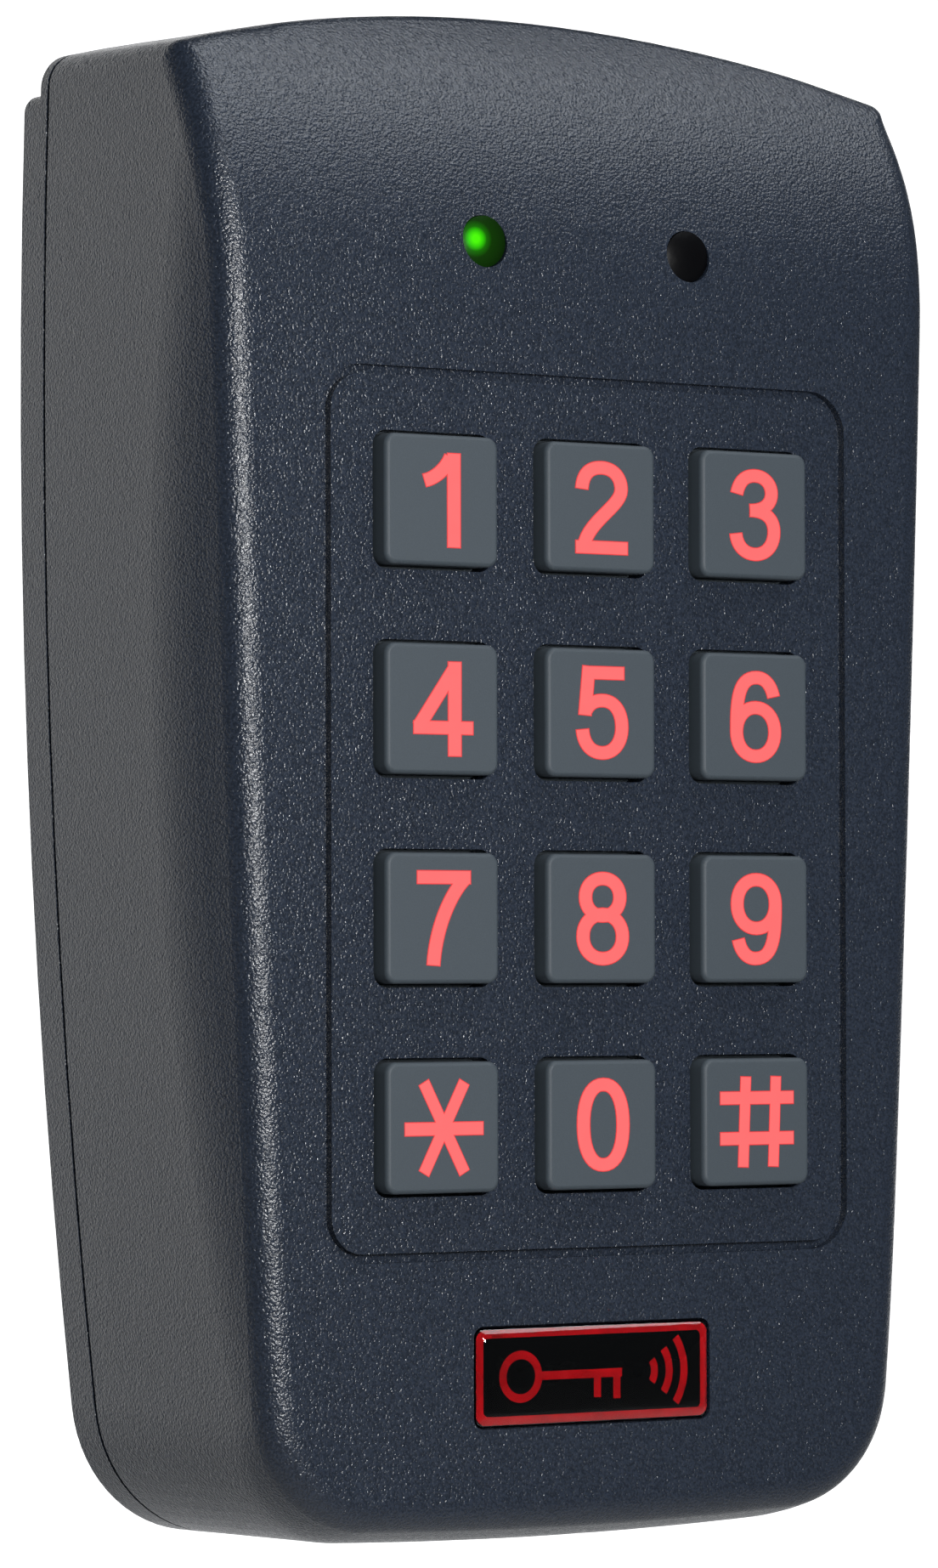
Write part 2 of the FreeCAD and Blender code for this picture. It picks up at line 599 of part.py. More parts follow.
def main_board():
    board = plate("board_plate", "board_width", "board_height", "board_corner", "board_thick", 0,
                  "board_depth", "board_z")
    holes = [rod(f"board_hole_{i}", "screw_hole", "board_thick + 2*past", x, "board_depth - past", z)
             for i, (x, z) in enumerate(board_fixings())]
    return cut("main_board", board, *holes)


def screw(name, x, y, z):
    """Pan head with a slot, head towards the wall, shank into a boss."""
    head = rod(name + "_head", "screw_head", "screw_head_thick", x, y, z)
    shank = rod(name + "_shank", "screw_shank", "screw_length", x, f"{y} - screw_length + 0.1", z)
    slot = box(name + "_slot", ("screw_slot", "past", "3*screw_head"), x,
               f"{y} + screw_head_thick - screw_slot", z)
    return cut(name, fuse(name + "_body", head, shank), slot)


def board_screws():
    return group("board_screws", *[screw(f"board_screw_{i}", x, REAR, z)
                                   for i, (x, z) in enumerate(board_fixings())])


def status_led(name, side):
    """LED with a low crown that stands on the board and fills its hole."""
    x = f"{side} * led_x"
    curve = "(led_body * led_body + led_crown * led_crown) / (2 * led_crown)"
    barrel = rod(name + "_barrel", "led_body", "board_depth - led_tip - led_crown", x,
                 "led_tip + led_crown", "led_z")
    rim = rod(name + "_rim", "led_rim", "led_rim_thick", x, "board_depth - led_rim_thick", "led_z")
    ball = bind(add("Sphere", name + "_ball"), Radius=curve)
    place(ball, x, at_depth(f"led_tip + {curve}"), "led_z")
    crown = common(name + "_crown", ball, rod(name + "_front", "led_body", "led_crown + past", x,
                                              "led_tip", "led_z"))
    return fuse(name, barrel, rim, crown)


def chip(name, width, height, thick, x, z):
    """Moulded package behind the board with a row of legs up each side."""
    parts = [box(name + "_body", (width, thick, height), x, f"{REAR} + chip_lift", z)]
    step = f"({height} - 2*leg_width) / {CHIP_LEGS - 1}"
    for leg in range(CHIP_LEGS):
        level = f"{z} + {leg - (CHIP_LEGS - 1) / 2} * {step}"
        parts.append(box(f"{name}_leg_{leg}", (f"{width} + 2*leg_reach", "leg_thick", "leg_width"), x,
                         REAR, level))
    return fuse(name, *parts)


def controller_chip():
    return chip("controller_chip", "controller_size", "controller_size", "controller_thick", "controller_x",
                "controller_z")


def reader_chip():
    return chip("reader_chip", "reader_width", "reader_height", "reader_thick", "reader_x", "reader_z")


def voltage_regulator():
    body = box("regulator_body", ("regulator_width", "regulator_thick", "regulator_height"),
               "capacitor_x", REAR, "corner_z")
    tab = box("regulator_tab", ("tab_width", "tab_thick", "tab_height"), "capacitor_x", REAR,
              "corner_z + (tab_height - regulator_height) / 2")
    return fuse("voltage_regulator", body, tab)


def antenna_coil():
    outer = plate("coil_outer", "coil_width", "coil_height", "coil_corner", "coil_thick", 0, REAR,
                  "coil_z")
    inner = plate("coil_inner", "coil_width - 2*coil_band", "coil_height - 2*coil_band",
                  "coil_corner - coil_band/2", "coil_thick + 2*past", 0, f"{REAR} - past", "coil_z")
    return cut("antenna_coil", outer, inner)


def crystal():
    can = box("crystal_can", ("crystal_width", "crystal_thick", "crystal_height"), "crystal_x", REAR,
              "crystal_z")
    return fillet("crystal", can, lambda e: abs(direction(e).y) > 0.9, number("crystal_corner"))


def smoothing_capacitor():
    can = rod("capacitor_can", "capacitor_radius", "capacitor_length", "capacitor_x", REAR, "power_z")
    back = number(f"{REAR} - depth + capacitor_length")
    return fillet("smoothing_capacitor", can, lambda e: abs(middle(e).y - back) < 0.01, 0.6)


def buzzer():
    case = rod("buzzer_case", "buzzer_radius", "buzzer_length", "buzzer_x", REAR, "corner_z")
    mouth = rod("buzzer_mouth", "buzzer_hole", "buzzer_hole_deep + past", "buzzer_x",
                f"{REAR} + buzzer_length - buzzer_hole_deep", "corner_z")
    return cut("buzzer", case, mouth)


def surge_diodes():
    size = ("diode_width", "diode_thick", "diode_height")
    return group("surge_diodes", *[box(f"diode_{i}", size, f"{1 + i} * diode_pitch", REAR, "diode_z")
                                   for i in range(3)])


def tamper_sensor():
    """Optical sensor that looks at the wall through its eye."""
    case = box("sensor_case", ("sensor_width", "sensor_thick", "sensor_height"), 0, REAR, "sensor_z")
    return cut("tamper_sensor", case, rod("sensor_eye", 1, "2*past", 0, f"{REAR} + sensor_thick - past",
                                          "sensor_z"))


TERMINALS = 8
SCREW_Z = "power_z + 0.6"


def terminal_places():
    """Sideways place of each wire position along the terminal block."""
    return [f"{i - (TERMINALS - 1) / 2} * terminal_pitch" for i in range(TERMINALS)]


def terminal_block():
    case = box("terminal_case", (f"{TERMINALS} * terminal_pitch + 0.4", "terminal_thick",
                                 "terminal_height"), 0,
               REAR, "power_z")
    port_size = ("wire_port", "wire_port_height", "terminal_height/2")
    ports = [box(f"wire_port_{i}", port_size, x, f"{REAR} + 1.6", "power_z - terminal_height/2 + past/2")
             for i, x in enumerate(terminal_places())]
    wells = [rod(f"screw_well_{i}", "terminal_radius + 0.1", "terminal_deep + past", x,
                 f"{REAR} + terminal_thick - terminal_deep", SCREW_Z)
             for i, x in enumerate(terminal_places())]
    return cut("terminal_block", case, *ports, *wells)


def terminal_screw(i, x):
    start = f"{REAR} + terminal_thick - terminal_deep"
    head = rod(f"terminal_head_{i}", "terminal_radius", "terminal_deep - past", x, start, SCREW_Z)
    slot = box(f"terminal_slot_{i}", ("terminal_slot", "past", "4*terminal_radius"), x, f"{start} + past",
               SCREW_Z)
    return cut(f"terminal_screw_{i}", head, slot)


def terminal_screws():
    return group("terminal_screws", *[terminal_screw(i, x) for i, x in enumerate(terminal_places())])


# ---------------------------------------------------------------- seals, fasteners, badge
def cable_grommet():
    """Rubber ring with a neck in the outlet and a lip inside the tray."""
    floor = "depth - pan_floor"
    neck = rod("grommet_neck", "outlet_radius", "pan_floor - 0.3", 0, floor, "outlet_z")
    lip = rod("grommet_lip_ring", "outlet_radius + grommet_lip", "grommet_face", 0,
              f"{floor} - grommet_face", "outlet_z")
    bore = rod("grommet_hole", "grommet_bore", "pan_floor + 4*past", 0, f"{floor} - 2*past", "outlet_z")
    return cut("cable_grommet", fuse("grommet_body", neck, lip), bore)


def case_screw():
    """Security screw: its head is sunk in the bottom of the front cover."""
    base = "bottom_z + case_screw_sink"
    head = post("case_screw_head", "case_head", "case_head_thick", 0, "case_screw_depth", base)
    shank = post("case_screw_shank", "case_shank", "case_screw_length", 0, "case_screw_depth",
                 f"{base} + case_head_thick - 0.1")
    socket = post("case_screw_socket", "case_socket", "past + 0.9", 0, "case_screw_depth",
                  f"{base} - past")
    return cut("case_screw", fuse("case_screw_body", head, shank), socket)


def screw_insert():
    base = "bottom_z + wall + case_pad_thick + insert_play"
    sleeve = post("insert_sleeve", "insert_radius", "insert_length", 0, "case_screw_depth", base)
    bore = post("insert_bore", "case_shank", "insert_length + 2*past", 0, "case_screw_depth",
                f"{base} - past")
    return cut("screw_insert", sleeve, bore)


def cover_seal():
    """Rubber cord in the groove of the parting face."""
    inset, width = "seal_inset + seal_slack", "seal_width - 2*seal_slack"
    return ring("cover_seal", inset, width, "parting - seal_thick", "parting")


def badge_label():
    return plate("badge_label", "badge_width - 2*badge_gap", "badge_height - 2*badge_gap",
                 "badge_corner - badge_gap", "label_thick", 0, "badge_pocket - label_thick", "badge_z")


def badge_resin():
    """Clear resin poured on the label, with a rounded rim."""
    inset = "2*badge_gap + 2*resin_inset"
    top = "badge_pocket - label_thick - resin_thick"
    pour = plate("resin_pour", f"badge_width - ({inset})", f"badge_height - ({inset})",
                 "badge_corner - badge_gap", "resin_thick", 0, top, "badge_z")
    front = number(f"{top} - depth")
    return fillet("badge_resin", pour, lambda e: abs(middle(e).y - front) < 0.01, number("resin_edge"))


# ---------------------------------------------------------------- assembly
def build():
    form = housing()
    parts = [front_cover(form), rear_cover(form), cover_seal()]
    parts += [key(name, x, z) for name, x, z in key_places()]
    parts += [keypad_mat(), contact_pills(), main_board(), board_screws(), backlight_leds(),
              status_led("left_status_led", -1), status_led("right_status_led", 1),
              controller_chip(), reader_chip(), crystal(), voltage_regulator(), smoothing_capacitor(),
              surge_diodes(), buzzer(), tamper_sensor(), terminal_block(), terminal_screws(),
              antenna_coil(), cable_grommet(), case_screw(), screw_insert(), badge_label(), badge_resin()]
    return parts


def check(parts):
    """Stops on any failed feature and on any missing or invalid shape."""
    failed = [obj.Name for obj in doc.Objects if {"Invalid", "Error"} & set(obj.State)]
    if failed:
        raise RuntimeError("failed features: " + ", ".join(failed))
    for part in parts:
        if part.Shape.isNull() or not part.Shape.isValid() or not part.Shape.Solids:
            raise RuntimeError("bad shape: " + part.Label)


def main():
    parts = build()
    doc.recompute()
    check(parts)
    os.makedirs("parts", exist_ok=True)
    for part in parts:
        part.Label = part.Name
        part.Shape.exportStep(f"parts/{part.Label}.step")
        print(f"{part.Label:22s} solids {len(part.Shape.Solids):2d}  volume {part.Shape.Volume:10.2f}")


main()
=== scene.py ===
"""Keypad access reader: finishes, key legends, badge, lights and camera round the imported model."""
import bmesh
import bpy
import math
from mathutils import Matrix, Vector
from mathutils.geometry import delaunay_2d_cdt


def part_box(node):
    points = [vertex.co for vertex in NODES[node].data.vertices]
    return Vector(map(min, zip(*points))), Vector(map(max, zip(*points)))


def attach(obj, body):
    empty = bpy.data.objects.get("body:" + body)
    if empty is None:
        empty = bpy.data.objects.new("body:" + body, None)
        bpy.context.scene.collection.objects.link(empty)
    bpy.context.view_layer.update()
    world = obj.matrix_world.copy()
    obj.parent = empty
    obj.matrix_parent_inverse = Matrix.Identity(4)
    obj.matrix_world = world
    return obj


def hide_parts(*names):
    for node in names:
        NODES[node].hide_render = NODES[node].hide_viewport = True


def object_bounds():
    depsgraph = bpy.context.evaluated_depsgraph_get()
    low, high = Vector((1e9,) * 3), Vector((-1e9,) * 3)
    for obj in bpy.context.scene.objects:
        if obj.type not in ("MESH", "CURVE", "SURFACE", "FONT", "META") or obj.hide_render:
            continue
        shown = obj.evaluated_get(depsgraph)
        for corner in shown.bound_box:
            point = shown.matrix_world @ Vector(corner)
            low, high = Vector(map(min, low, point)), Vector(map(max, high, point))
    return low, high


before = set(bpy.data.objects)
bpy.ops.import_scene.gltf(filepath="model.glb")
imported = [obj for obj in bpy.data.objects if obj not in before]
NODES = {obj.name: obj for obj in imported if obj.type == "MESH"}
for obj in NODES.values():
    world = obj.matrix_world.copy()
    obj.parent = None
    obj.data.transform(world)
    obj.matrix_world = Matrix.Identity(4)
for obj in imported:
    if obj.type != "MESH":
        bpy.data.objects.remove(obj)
cad_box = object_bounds()

MM = 0.001
KEYS = ("key_1", "key_2", "key_3", "key_4", "key_5", "key_6",
        "key_7", "key_8", "key_9", "key_star", "key_0", "key_hash")


# ---------------------------------------------------------------- node helpers
class Finish:
    """A principled material under construction, with coordinates in metres."""

    def __init__(self, name, colour, roughness, **sockets):
        self.material = bpy.data.materials.new(name)
        self.material.use_nodes = True
        self.tree = self.material.node_tree
        self.shader = self.tree.nodes["Principled BSDF"]
        self.shader.inputs["Base Color"].default_value = (*colour, 1)
        self.shader.inputs["Roughness"].default_value = roughness
        for socket, value in sockets.items():
            self.shader.inputs[socket.replace("_", " ")].default_value = value
        self.place = self.add("ShaderNodeTexCoord").outputs["Object"]
        self.normal = None

    def add(self, kind, **settings):
        node = self.tree.nodes.new(kind)
        for key, value in settings.items():
            setattr(node, key, value)
        return node

    def link(self, output, target):
        self.tree.links.new(output, target)

    def noise(self, size_mm, detail=2.0, roughness=0.5, stretch=(1, 1, 1)):
        """Noise with features of about size_mm, as a 0 to 1 output."""
        mapping = self.add("ShaderNodeMapping")
        mapping.inputs["Scale"].default_value = stretch
        self.link(self.place, mapping.inputs["Vector"])
        node = self.add("ShaderNodeTexNoise")
        node.inputs["Scale"].default_value = 1 / (size_mm * MM)
        node.inputs["Detail"].default_value = detail
        node.inputs["Roughness"].default_value = roughness
        self.link(mapping.outputs["Vector"], node.inputs["Vector"])
        return node.outputs["Fac"]

    def cells(self, size_mm):
        """Distance to the nearest cell centre: a pebbled leather pattern."""
        node = self.add("ShaderNodeTexVoronoi", feature="SMOOTH_F1")
        node.inputs["Scale"].default_value = 1 / (size_mm * MM)
        self.link(self.place, node.inputs["Vector"])
        return node.outputs["Distance"]

    def spread(self, value, low, high, from_low=0.3, from_high=0.7):
        """A map of one range of a value onto another."""
        node = self.add("ShaderNodeMapRange")
        limits = {"From Min": from_low, "From Max": from_high, "To Min": low, "To Max": high}
        for socket, number in limits.items():
            node.inputs[socket].default_value = number
        self.link(value, node.inputs["Value"])
        return node.outputs["Result"]

    def ramp(self, value, *stops):
        """A colour ramp; each stop is a position and a colour."""
        node = self.add("ShaderNodeValToRGB")
        elements = node.color_ramp.elements
        while len(elements) < len(stops):
            elements.new(0.5)
        for element, (position, colour) in zip(elements, stops):
            element.position = position
            element.color = (*colour, 1)
        self.link(value, node.inputs["Fac"])
        return node.outputs["Color"]

    def bump(self, height, depth_mm):
        """Adds relief: a full step of height stands depth_mm proud."""
        node = self.add("ShaderNodeBump")
        node.inputs["Distance"].default_value = depth_mm * MM
        self.link(height, node.inputs["Height"])
        if self.normal:
            self.link(self.normal, node.inputs["Normal"])
        self.normal = node.outputs["Normal"]
        self.link(self.normal, self.shader.inputs["Normal"])
        return self

    def colour(self, output):
        self.link(output, self.shader.inputs["Base Color"])
        return self

    def gloss(self, output):
        self.link(output, self.shader.inputs["Roughness"])
        return self


# ---------------------------------------------------------------- materials
def moulded(name, dark, light, size_mm, relief_mm, roughness):
    """Moulded plastic with a fine leathery grain; its colour has painted shade in the pits and a painted
    highlight on the tops of the bumps.
    """
    finish = Finish(name, dark, roughness, Specular_IOR_Level=0.42)
    grain = finish.noise(size_mm, 1.5, 0.5)
    # painted shade and highlight: the grain's height also drives its colour, darker in the pits and lighter
    # on the tops
    painted_pit_shade = tuple(c * 0.7 for c in dark)
    finish.colour(finish.ramp(grain, (0.38, painted_pit_shade), (0.5, dark), (0.64, light)))
    finish.bump(grain, relief_mm)
    finish.bump(finish.cells(size_mm * 1.2), relief_mm * 0.5)
    finish.gloss(finish.spread(finish.noise(size_mm * 2), roughness - 0.04, roughness + 0.06))
    return finish.material


def housing_plastic():
    # housing grain colours: the first is the base tone, the second a painted highlight on the grain's tops
    return moulded("housing_plastic", (0.011, 0.0155, 0.025), (0.0145, 0.02, 0.032), 0.23, 0.105, 0.27)


def key_rubber():
    """Matte keys with a very fine spark-eroded skin."""
    finish = Finish("key_plastic", (0.027, 0.037, 0.046), 0.64)
    finish.colour(finish.ramp(finish.noise(0.12, 2), (0.3, (0.024, 0.033, 0.041)),
                              (0.7, (0.03, 0.041, 0.051))))
    finish.bump(finish.noise(0.13, 2), 0.01)
    return finish.material


def plain_moulding(name, colour, roughness, size_mm=0.5, relief_mm=0.01, **sockets):
    """A small moulded or cast part with slight mottling and relief."""
    finish = Finish(name, colour, roughness, **sockets)
    dark = tuple(c * 0.85 for c in colour)
    light = tuple(min(c * 1.12, 1) for c in colour)
    finish.colour(finish.ramp(finish.noise(size_mm * 4), (0.3, dark), (0.7, light)))
    finish.bump(finish.noise(size_mm), relief_mm)
    return finish.material


def turned_metal(name, colour, roughness):
    """Machined metal with fine turning lines."""
    finish = Finish(name, colour, roughness, Metallic=1.0)
    lines = finish.noise(0.3, 2, 0.5, (1, 6, 6))
    finish.bump(lines, 0.008)
    finish.gloss(finish.spread(lines, roughness - 0.06, roughness + 0.08))
    return finish.material


def circuit_laminate():
    """Solder mask over faint copper tracks on a grid."""
    finish = Finish("circuit_laminate", (0.01, 0.08, 0.035), 0.35)
    tracks = finish.add("ShaderNodeTexBrick", offset=0.5)
    layout = {"Scale": 260.0, "Mortar Size": 0.03, "Brick Width": 0.9, "Row Height": 0.3}
    for socket, value in layout.items():
        tracks.inputs[socket].default_value = value
    tracks.inputs["Color1"].default_value = (0.008, 0.07, 0.03, 1)
    tracks.inputs["Color2"].default_value = (0.01, 0.085, 0.038, 1)
    tracks.inputs["Mortar"].default_value = (0.02, 0.15, 0.06, 1)
    turn = finish.add("ShaderNodeMapping")
    turn.inputs["Rotation"].default_value = (math.pi / 2, 0, 0)
    finish.link(finish.place, turn.inputs["Vector"])
    finish.link(turn.outputs["Vector"], tracks.inputs["Vector"])
    finish.colour(tracks.outputs["Color"])
    finish.bump(tracks.outputs["Fac"], 0.02)
    return finish.material


def glow(name, colour, strength, base):
    """A surface that gives light, such as a backlit legend."""
    finish = Finish(name, base, 0.5, Emission_Strength=strength)
    bright = tuple(min(c * 1.04, 1) for c in colour)
    shade = finish.ramp(finish.noise(1.5, 1), (0.3, colour), (0.7, bright))
    finish.link(shade, finish.shader.inputs["Emission Color"])
    return finish.material


def lit_lens(node, spot, core, rim):
    """Green LED: bright where its chip stands behind the dome, dark green towards the rim."""
    finish = Finish("led_green_lens", (0.002, 0.01, 0.001), 0.35, Emission_Strength=1.0,
                    Specular_IOR_Level=0.04)
    low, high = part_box(node)
    distance = finish.add("ShaderNodeVectorMath", operation="DISTANCE")
    finish.link(finish.place, distance.inputs[0])
    distance.inputs[1].default_value = ((low.x + high.x) / 2 + spot[0] * MM, low.y + spot[1] * MM,
                                        (low.z + high.z) / 2 + spot[2] * MM)
    near = finish.spread(distance.outputs["Value"], 0, 1, core * MM, rim * MM)
    shade = finish.ramp(near, (0.0, (0.07, 0.95, 0.0)), (0.12, (0.03, 0.62, 0.0)),
                        (0.26, (0.006, 0.13, 0.0)), (0.45, (0.002, 0.02, 0.0)), (1.0, (0.0003, 0.002, 0.0)))
    finish.link(shade, finish.shader.inputs["Emission Color"])
    finish.bump(finish.noise(0.8), 0.03)
    return finish.material


def dark_lens():
    finish = Finish("led_dark_lens", (0.0012, 0.0012, 0.0016), 0.35, Specular_IOR_Level=0.1)
    finish.bump(finish.noise(0.8), 0.02)
    return finish.material


def clear_resin():
    finish = Finish("clear_resin", (1, 1, 1), 0.03, Transmission_Weight=1.0, IOR=1.48)
    finish.bump(finish.noise(3.0, 1), 0.02)
    return finish.material


def finish_nodes():
    """Gives every CAD node its material."""
    housing = housing_plastic()
    black = plain_moulding("chip_black", (0.018, 0.018, 0.02), 0.5)
    steel = turned_metal("plated_steel", (0.62, 0.62, 0.64), 0.32)
    rubber = plain_moulding("seal_rubber", (0.014, 0.014, 0.015), 0.8, 0.3, 0.02)
    table = {
        housing: ("front_cover", "rear_cover"),
        key_rubber(): KEYS,
        rubber: ("cover_seal", "cable_grommet"),
        plain_moulding("mat_silicone", (0.30, 0.31, 0.32), 0.55, Subsurface_Weight=0.1): ("keypad_mat",),
        plain_moulding("carbon_rubber", (0.02, 0.02, 0.02), 0.7): ("contact_pills",),
        circuit_laminate(): ("main_board",),
        steel: ("board_screws", "crystal", "terminal_screws", "case_screw"),
        plain_moulding("led_white_body", (0.7, 0.7, 0.62), 0.35): ("backlight_leds",),
        lit_lens("left_status_led", (-1.1, 0.2, 0.15), 0.35, 3.4): ("left_status_led",),
        dark_lens(): ("right_status_led",),
        black: ("controller_chip", "reader_chip", "voltage_regulator", "surge_diodes", "buzzer",
                "tamper_sensor"),
        plain_moulding("capacitor_sleeve", (0.02, 0.03, 0.12), 0.3): ("smoothing_capacitor",),
        plain_moulding("terminal_green", (0.02, 0.22, 0.06), 0.45): ("terminal_block",),
        turned_metal("enamelled_copper", (0.72, 0.29, 0.12), 0.28): ("antenna_coil",),
        turned_metal("brass", (0.75, 0.52, 0.2), 0.3): ("screw_insert",),
        plain_moulding("badge_black", (0.002, 0.002, 0.003), 0.5, Specular_IOR_Level=0.0): ("badge_label",),
    }
    for material, names in table.items():
        for name in names:
            NODES[name].data.materials.clear()
            NODES[name].data.materials.append(material)


# ---------------------------------------------------------------- flat shapes in the front plane
def bezier(start, first, second, end, steps=14):
    """Points along a cubic curve, start and end included."""
    points = []
    corners = (start, first, second, end)
    for i in range(steps + 1):
        t = i / steps
        weights = ((1 - t) ** 3, 3 * t * (1 - t) ** 2, 3 * t * t * (1 - t), t ** 3)
        points.append(sum((Vector(p) * w for p, w in zip(corners, weights)), Vector((0, 0))))
    return points


def path(*pieces):
    """Joins points and curves end to end."""
    points = []
    for piece in pieces:
        for point in piece if isinstance(piece, list) else [Vector(piece)]:
            if not points or (point - points[-1]).length > 1e-6:
                points.append(point)
    return points


def oval(x, y, wide, high, start=0, sweep=360, power=2.0, steps=40):
    """Points round a superellipse, in degrees from the right-hand side."""
    points = []
    for i in range(steps + 1):
        angle = math.radians(start + sweep * i / steps)
        c, s = math.cos(angle), math.sin(angle)
        points.append(Vector((x + wide * math.copysign(abs(c) ** (2 / power), c),
                              y + high * math.copysign(abs(s) ** (2 / power), s))))
    return points


def ribbon(points, width, stretch, grow):
    """The outline of a stroke, square at its ends, as a list of four-cornered pieces between its two edges.
    """
    closed = (points[0] - points[-1]).length < 1e-6
    body = points[:-1] if closed else points
    count = len(body)
    half = width / 2
    left, right = [], []
    for i, point in enumerate(body):
        before = body[i - 1] if i or closed else point
        after = body[(i + 1) % count] if i < count - 1 or closed else point
        along = (after - before).normalized()
        side = Vector((-along.y, along.x))
        left.append(point + side * half)
        right.append(point - side * half)
    if not closed:
        for ends in (left, right):
            ends[0] = ends[0] - (body[1] - body[0]).normalized() * grow
            ends[-1] = ends[-1] + (body[-1] - body[-2]).normalized() * grow
    stretched = [[Vector((p.x * stretch, p.y)) for p in ring] for ring in (left, right)]
    quads = []
    last = count if closed else count - 1
    for i in range(last):
        j = (i + 1) % count
        quads.append([stretched[0][i], stretched[1][i], stretched[1][j], stretched[0][j]])
    return quads


def flat_piece(name, polygons, origin, back, front, material, body):
    """A thin closed plate whose outline is the union of the polygons, in millimetres round origin."""
    points, faces = [], []
    for polygon in polygons:
        faces.append(list(range(len(points), len(points) + len(polygon))))
        points.extend(polygon)
    flat, _, triangles, _, _, owners = delaunay_2d_cdt(points, [], faces, 0, 1e-5)
    mesh = bpy.data.meshes.new(name)
    build = bmesh.new()
    corners = [build.verts.new((origin.x + p.x * MM, back, origin.z + p.y * MM)) for p in flat]
    for triangle, owner in zip(triangles, owners):
        if owner:
            build.faces.new([corners[i] for i in triangle])
    bmesh.ops.delete(build, geom=[v for v in build.verts if not v.link_faces], context="VERTS")
    bmesh.ops.dissolve_limit(build, angle_limit=math.radians(0.5), verts=build.verts, edges=build.edges)
    lifted = bmesh.ops.extrude_face_region(build, geom=build.faces[:])["geom"]
    moved = [g for g in lifted if isinstance(g, bmesh.types.BMVert)]
    bmesh.ops.translate(build, vec=(0, front - back, 0), verts=moved)
    bmesh.ops.recalc_face_normals(build, faces=build.faces)
    build.to_mesh(mesh)
    build.free()
    mesh.materials.append(material)
    piece = bpy.data.objects.new(name, mesh)
    bpy.context.scene.collection.objects.link(piece)
    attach(piece, body)
    return piece


# ---------------------------------------------------------------- key legends
STROKE = 1.12          # thickness of a level stroke
STRETCH = 1.2          # upright strokes are wider by this
TOP = 4.27 - STROKE / 2
WIDE = 2.42 - STROKE / 2
HALO = 0.09            # width of the redder rim
HALO_SUNK = 0.012      # the rim's face lies this far behind the legend's
LEGEND_DEEP = 0.2      # how far back both plates reach
FACE_BAND = 0.01       # points this near a cap's front belong to its face
FACE_DROP = 0.025      # the cap's face lies this far behind its legend


def digit_strokes():
    """Centre lines of each legend, before it is stretched."""
    bowl = bezier((-WIDE + 0.25, 0.05), (-1.2, 0.95), (-0.6, 1.15), (0.05, 1.15))
    return {
        "key_0": [oval(0, 0, WIDE, TOP, power=2.25)],
        "key_1": [path((1.0, -4.27), (1.0, 4.27)),
                  path(bezier((0.7, 3.95), (0.3, 2.9), (-0.7, 1.95), (-1.65, 1.72)))],
        "key_2": [path(bezier((-WIDE, 1.72), (-WIDE + 0.1, 3.1), (-1.1, TOP), (0, TOP)),
                       bezier((0, TOP), (1.15, TOP), (WIDE, 2.9), (WIDE, 1.75)),
                       bezier((WIDE, 1.75), (WIDE, 0.2), (-1.35, -1.3), (-1.72, -3.75))),
                  path((-2.42, -TOP), (2.42, -TOP))],
        "key_3": [path(bezier((-WIDE + 0.1, 2.0), (-1.5, 3.2), (-0.9, TOP), (0, TOP)),
                       bezier((0, TOP), (1.0, TOP), (1.62, 2.95), (1.62, 2.1)),
                       bezier((1.62, 2.1), (1.62, 1.1), (0.9, 0.45), (-0.45, 0.42))),
                  path(bezier((-0.45, 0.42), (1.1, 0.45), (WIDE, -0.3), (WIDE, -1.5)),
                       bezier((WIDE, -1.5), (WIDE, -2.9), (1.0, -TOP), (0, -TOP)),
                       bezier((0, -TOP), (-1.0, -TOP), (-1.75, -3.0), (-WIDE, -1.85)))],
        "key_4": [path((1.04, -4.27), (1.04, 4.27)), path((-2.68, -1.72), (2.68, -1.72)),
                  path((0.95, 3.6), (-2.22, -1.6))],
        "key_5": [path((2.05, TOP), (-1.6, TOP)), path((-1.24, 4.27), (-1.62, -0.2)),
                  path(bowl, bezier((0.05, 1.15), (1.2, 1.15), (WIDE, 0.1), (WIDE, -1.3)),
                       bezier((WIDE, -1.3), (WIDE, -2.7), (1.1, -TOP), (0, -TOP)),
                       bezier((0, -TOP), (-1.0, -TOP), (-1.75, -3.0), (-WIDE, -1.6)))],
        "key_6": [oval(0, -1.42, WIDE, TOP - 1.42, power=2.1),
                  path(bezier((1.75, 1.95), (1.5, 3.1), (0.9, TOP), (0.1, TOP)),
                       bezier((0.1, TOP), (-1.6, TOP), (-WIDE - 0.02, 1.7), (-WIDE, -1.3)))],
        "key_7": [path((-2.38, TOP), (2.42, TOP)),
                  path(bezier((1.95, 3.6), (0.6, 2.2), (-0.75, -0.9), (-0.95, -4.27)))],
        "key_8": [oval(0, 1.98, WIDE - 0.24, TOP - 1.98, power=2.1),
                  oval(0, -1.66, WIDE, TOP - 1.66, power=2.1)],
    }


def legend_strokes(key):
    """Centre lines and horizontal stretch of one key's legend."""
    digits = digit_strokes()
    if key == "key_9":
        return [[-point for point in stroke] for stroke in digits["key_6"]], STRETCH
    if key == "key_star":
        return [path((-4.25, -0.1), (4.25, -0.1)), path((-2.2, 4.1), (2.2, -4.1)),
                path((2.2, 4.1), (-2.2, -4.1))], 1.0
    if key == "key_hash":
        return [path((-4.25, 2.25), (4.25, 2.25)), path((-4.25, -1.55), (4.25, -1.55)),
                path((-1.62, -4.2), (-1.3, 4.2)), path((1.9, -4.2), (2.22, 4.2))], 1.0
    return digits[key], STRETCH


